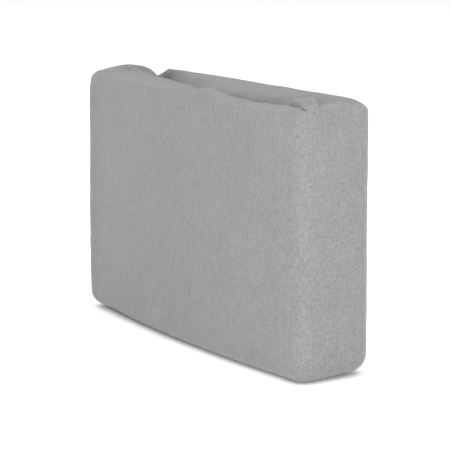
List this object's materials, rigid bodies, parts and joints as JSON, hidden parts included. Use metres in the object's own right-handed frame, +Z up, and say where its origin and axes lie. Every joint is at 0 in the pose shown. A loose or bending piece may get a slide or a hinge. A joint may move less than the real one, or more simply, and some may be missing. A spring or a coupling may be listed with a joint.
{
  "type": "back protector pad",
  "caption": "Rectangular back pad: layered foam and a stiffening board in a grey plush slip cover with an elasticated mouth and a tuck-in flap along the top.",
  "frame": {"origin": "middle of the base, on the surface that the pad stands on", "axes": "+X along the width to the end that the tuck lobe is at, -Y out of the crowned front, +Z up towards the mouth"},
  "size_m": [0.3, 0.071, 0.196],
  "materials": {
    "plush": "soft pile",
    "hem_tape": "woven tape",
    "elastic": "knitted elastic",
    "label": "satin ribbon",
    "lining": "plain weave",
    "soft_foam": "open-cell foam",
    "firm_foam": "closed-cell foam",
    "board": "matt sheet"
  },
  "bodies": {
    "cover": {"front_panel": "plush", "rear_panel": "plush", "left_side_panel": "plush", "right_side_panel": "plush", "base_panel": "plush", "left_corner_tuck": "plush", "right_corner_tuck": "plush", "left_tuck_elastic": "elastic", "right_tuck_elastic": "elastic", "blank_label": "label", "front_lining": "lining", "rear_lining": "lining", "soft_foam": "soft_foam", "firm_foam": "firm_foam", "rear_board": "board"},
    "front_lip": {"front_lip": "plush", "front_lip_elastic": "elastic"},
    "rear_flap": {"rear_flap": "plush", "flap_hem_tape": "hem_tape"}
  },
  "joints": [
    {"name": "rear_flap_fold", "type": "hinge", "parent": "cover", "child": "rear_flap", "pos_m": [0, 0.0355, 0.196], "axis": [-1, 0, 0], "range_deg": [0, 250]},
    {"name": "front_lip_fold", "type": "hinge", "parent": "cover", "child": "front_lip", "pos_m": [0.085, -0.0355, 0.1882], "axis": [1, 0, 0], "range_deg": [0, 80], "stiffness_Nm_per_rad": 0.02}
  ]
}
